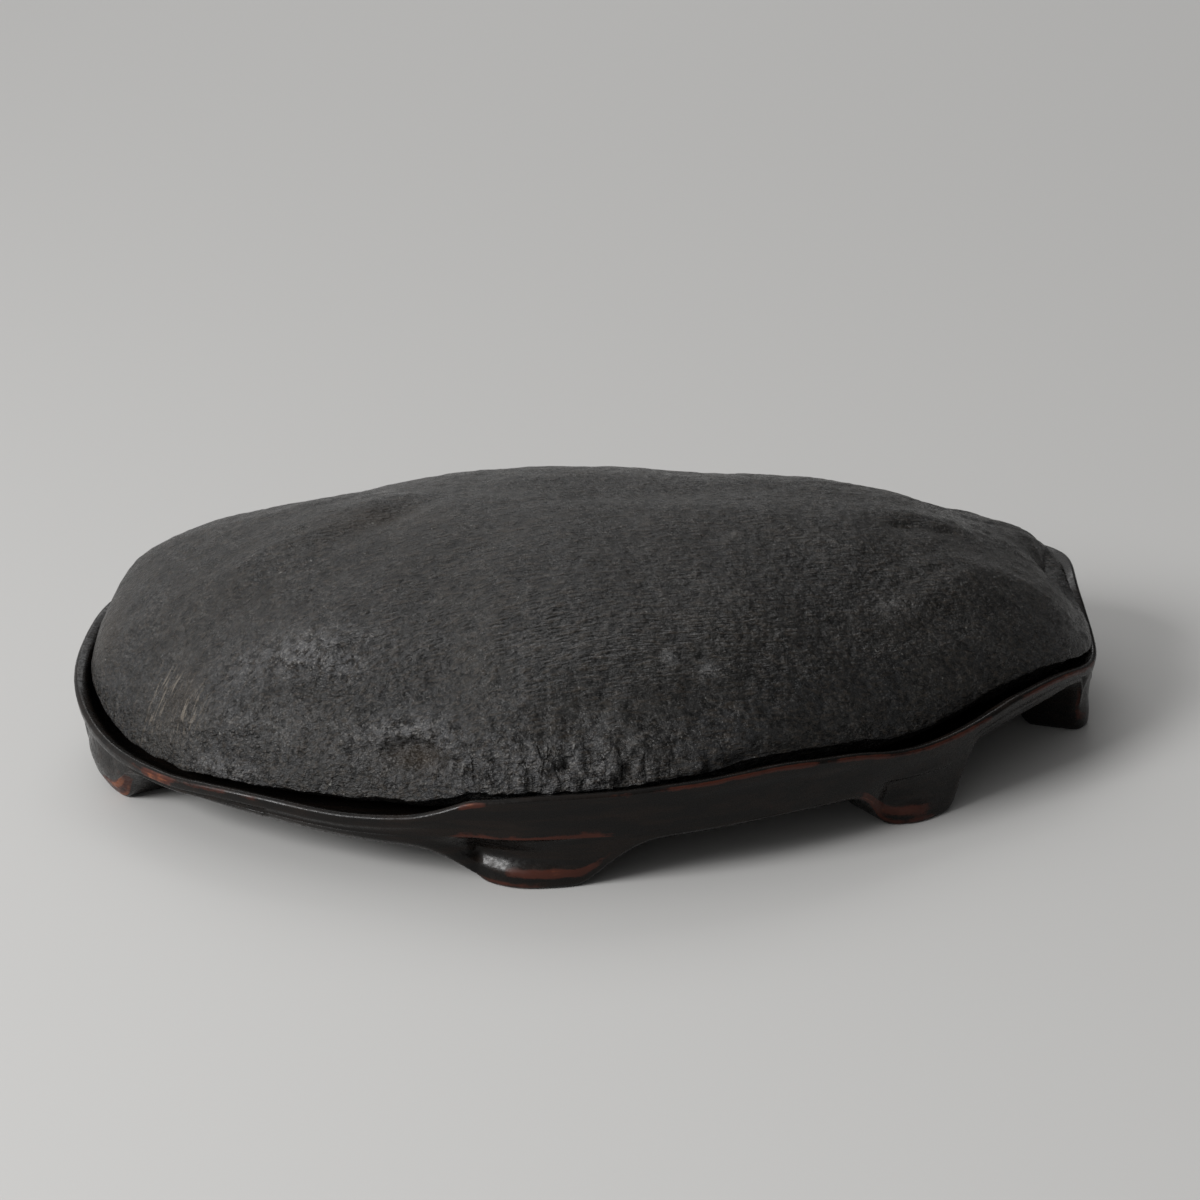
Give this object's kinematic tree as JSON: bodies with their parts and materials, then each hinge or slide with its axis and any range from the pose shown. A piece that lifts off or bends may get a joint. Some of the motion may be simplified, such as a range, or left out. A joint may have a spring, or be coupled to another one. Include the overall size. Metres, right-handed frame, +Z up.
{
  "type": "scholar's rock on a carved stand",
  "caption": "Low, broad domed dark river stone for display, resting in the fitted recess of a one-piece carved wooden stand with small scroll feet.",
  "frame": {"origin": "centre of the bounding box, on the level surface that the feet stand on", "axes": "+X along the stone's long axis towards its right end, -Y towards the front, +Z up"},
  "size_m": [0.3092, 0.196, 0.0774],
  "materials": {
    "stone": "dense charcoal-grey stone with a fine pitted grain, waxed to a low satin sheen",
    "wood": "near-black lacquered hardwood, satin to glossy, worn through to red-brown on the edges of the rim and toes"
  },
  "bodies": {
    "root": {"stone": "stone", "stand": "wood"}
  },
  "joints": []
}
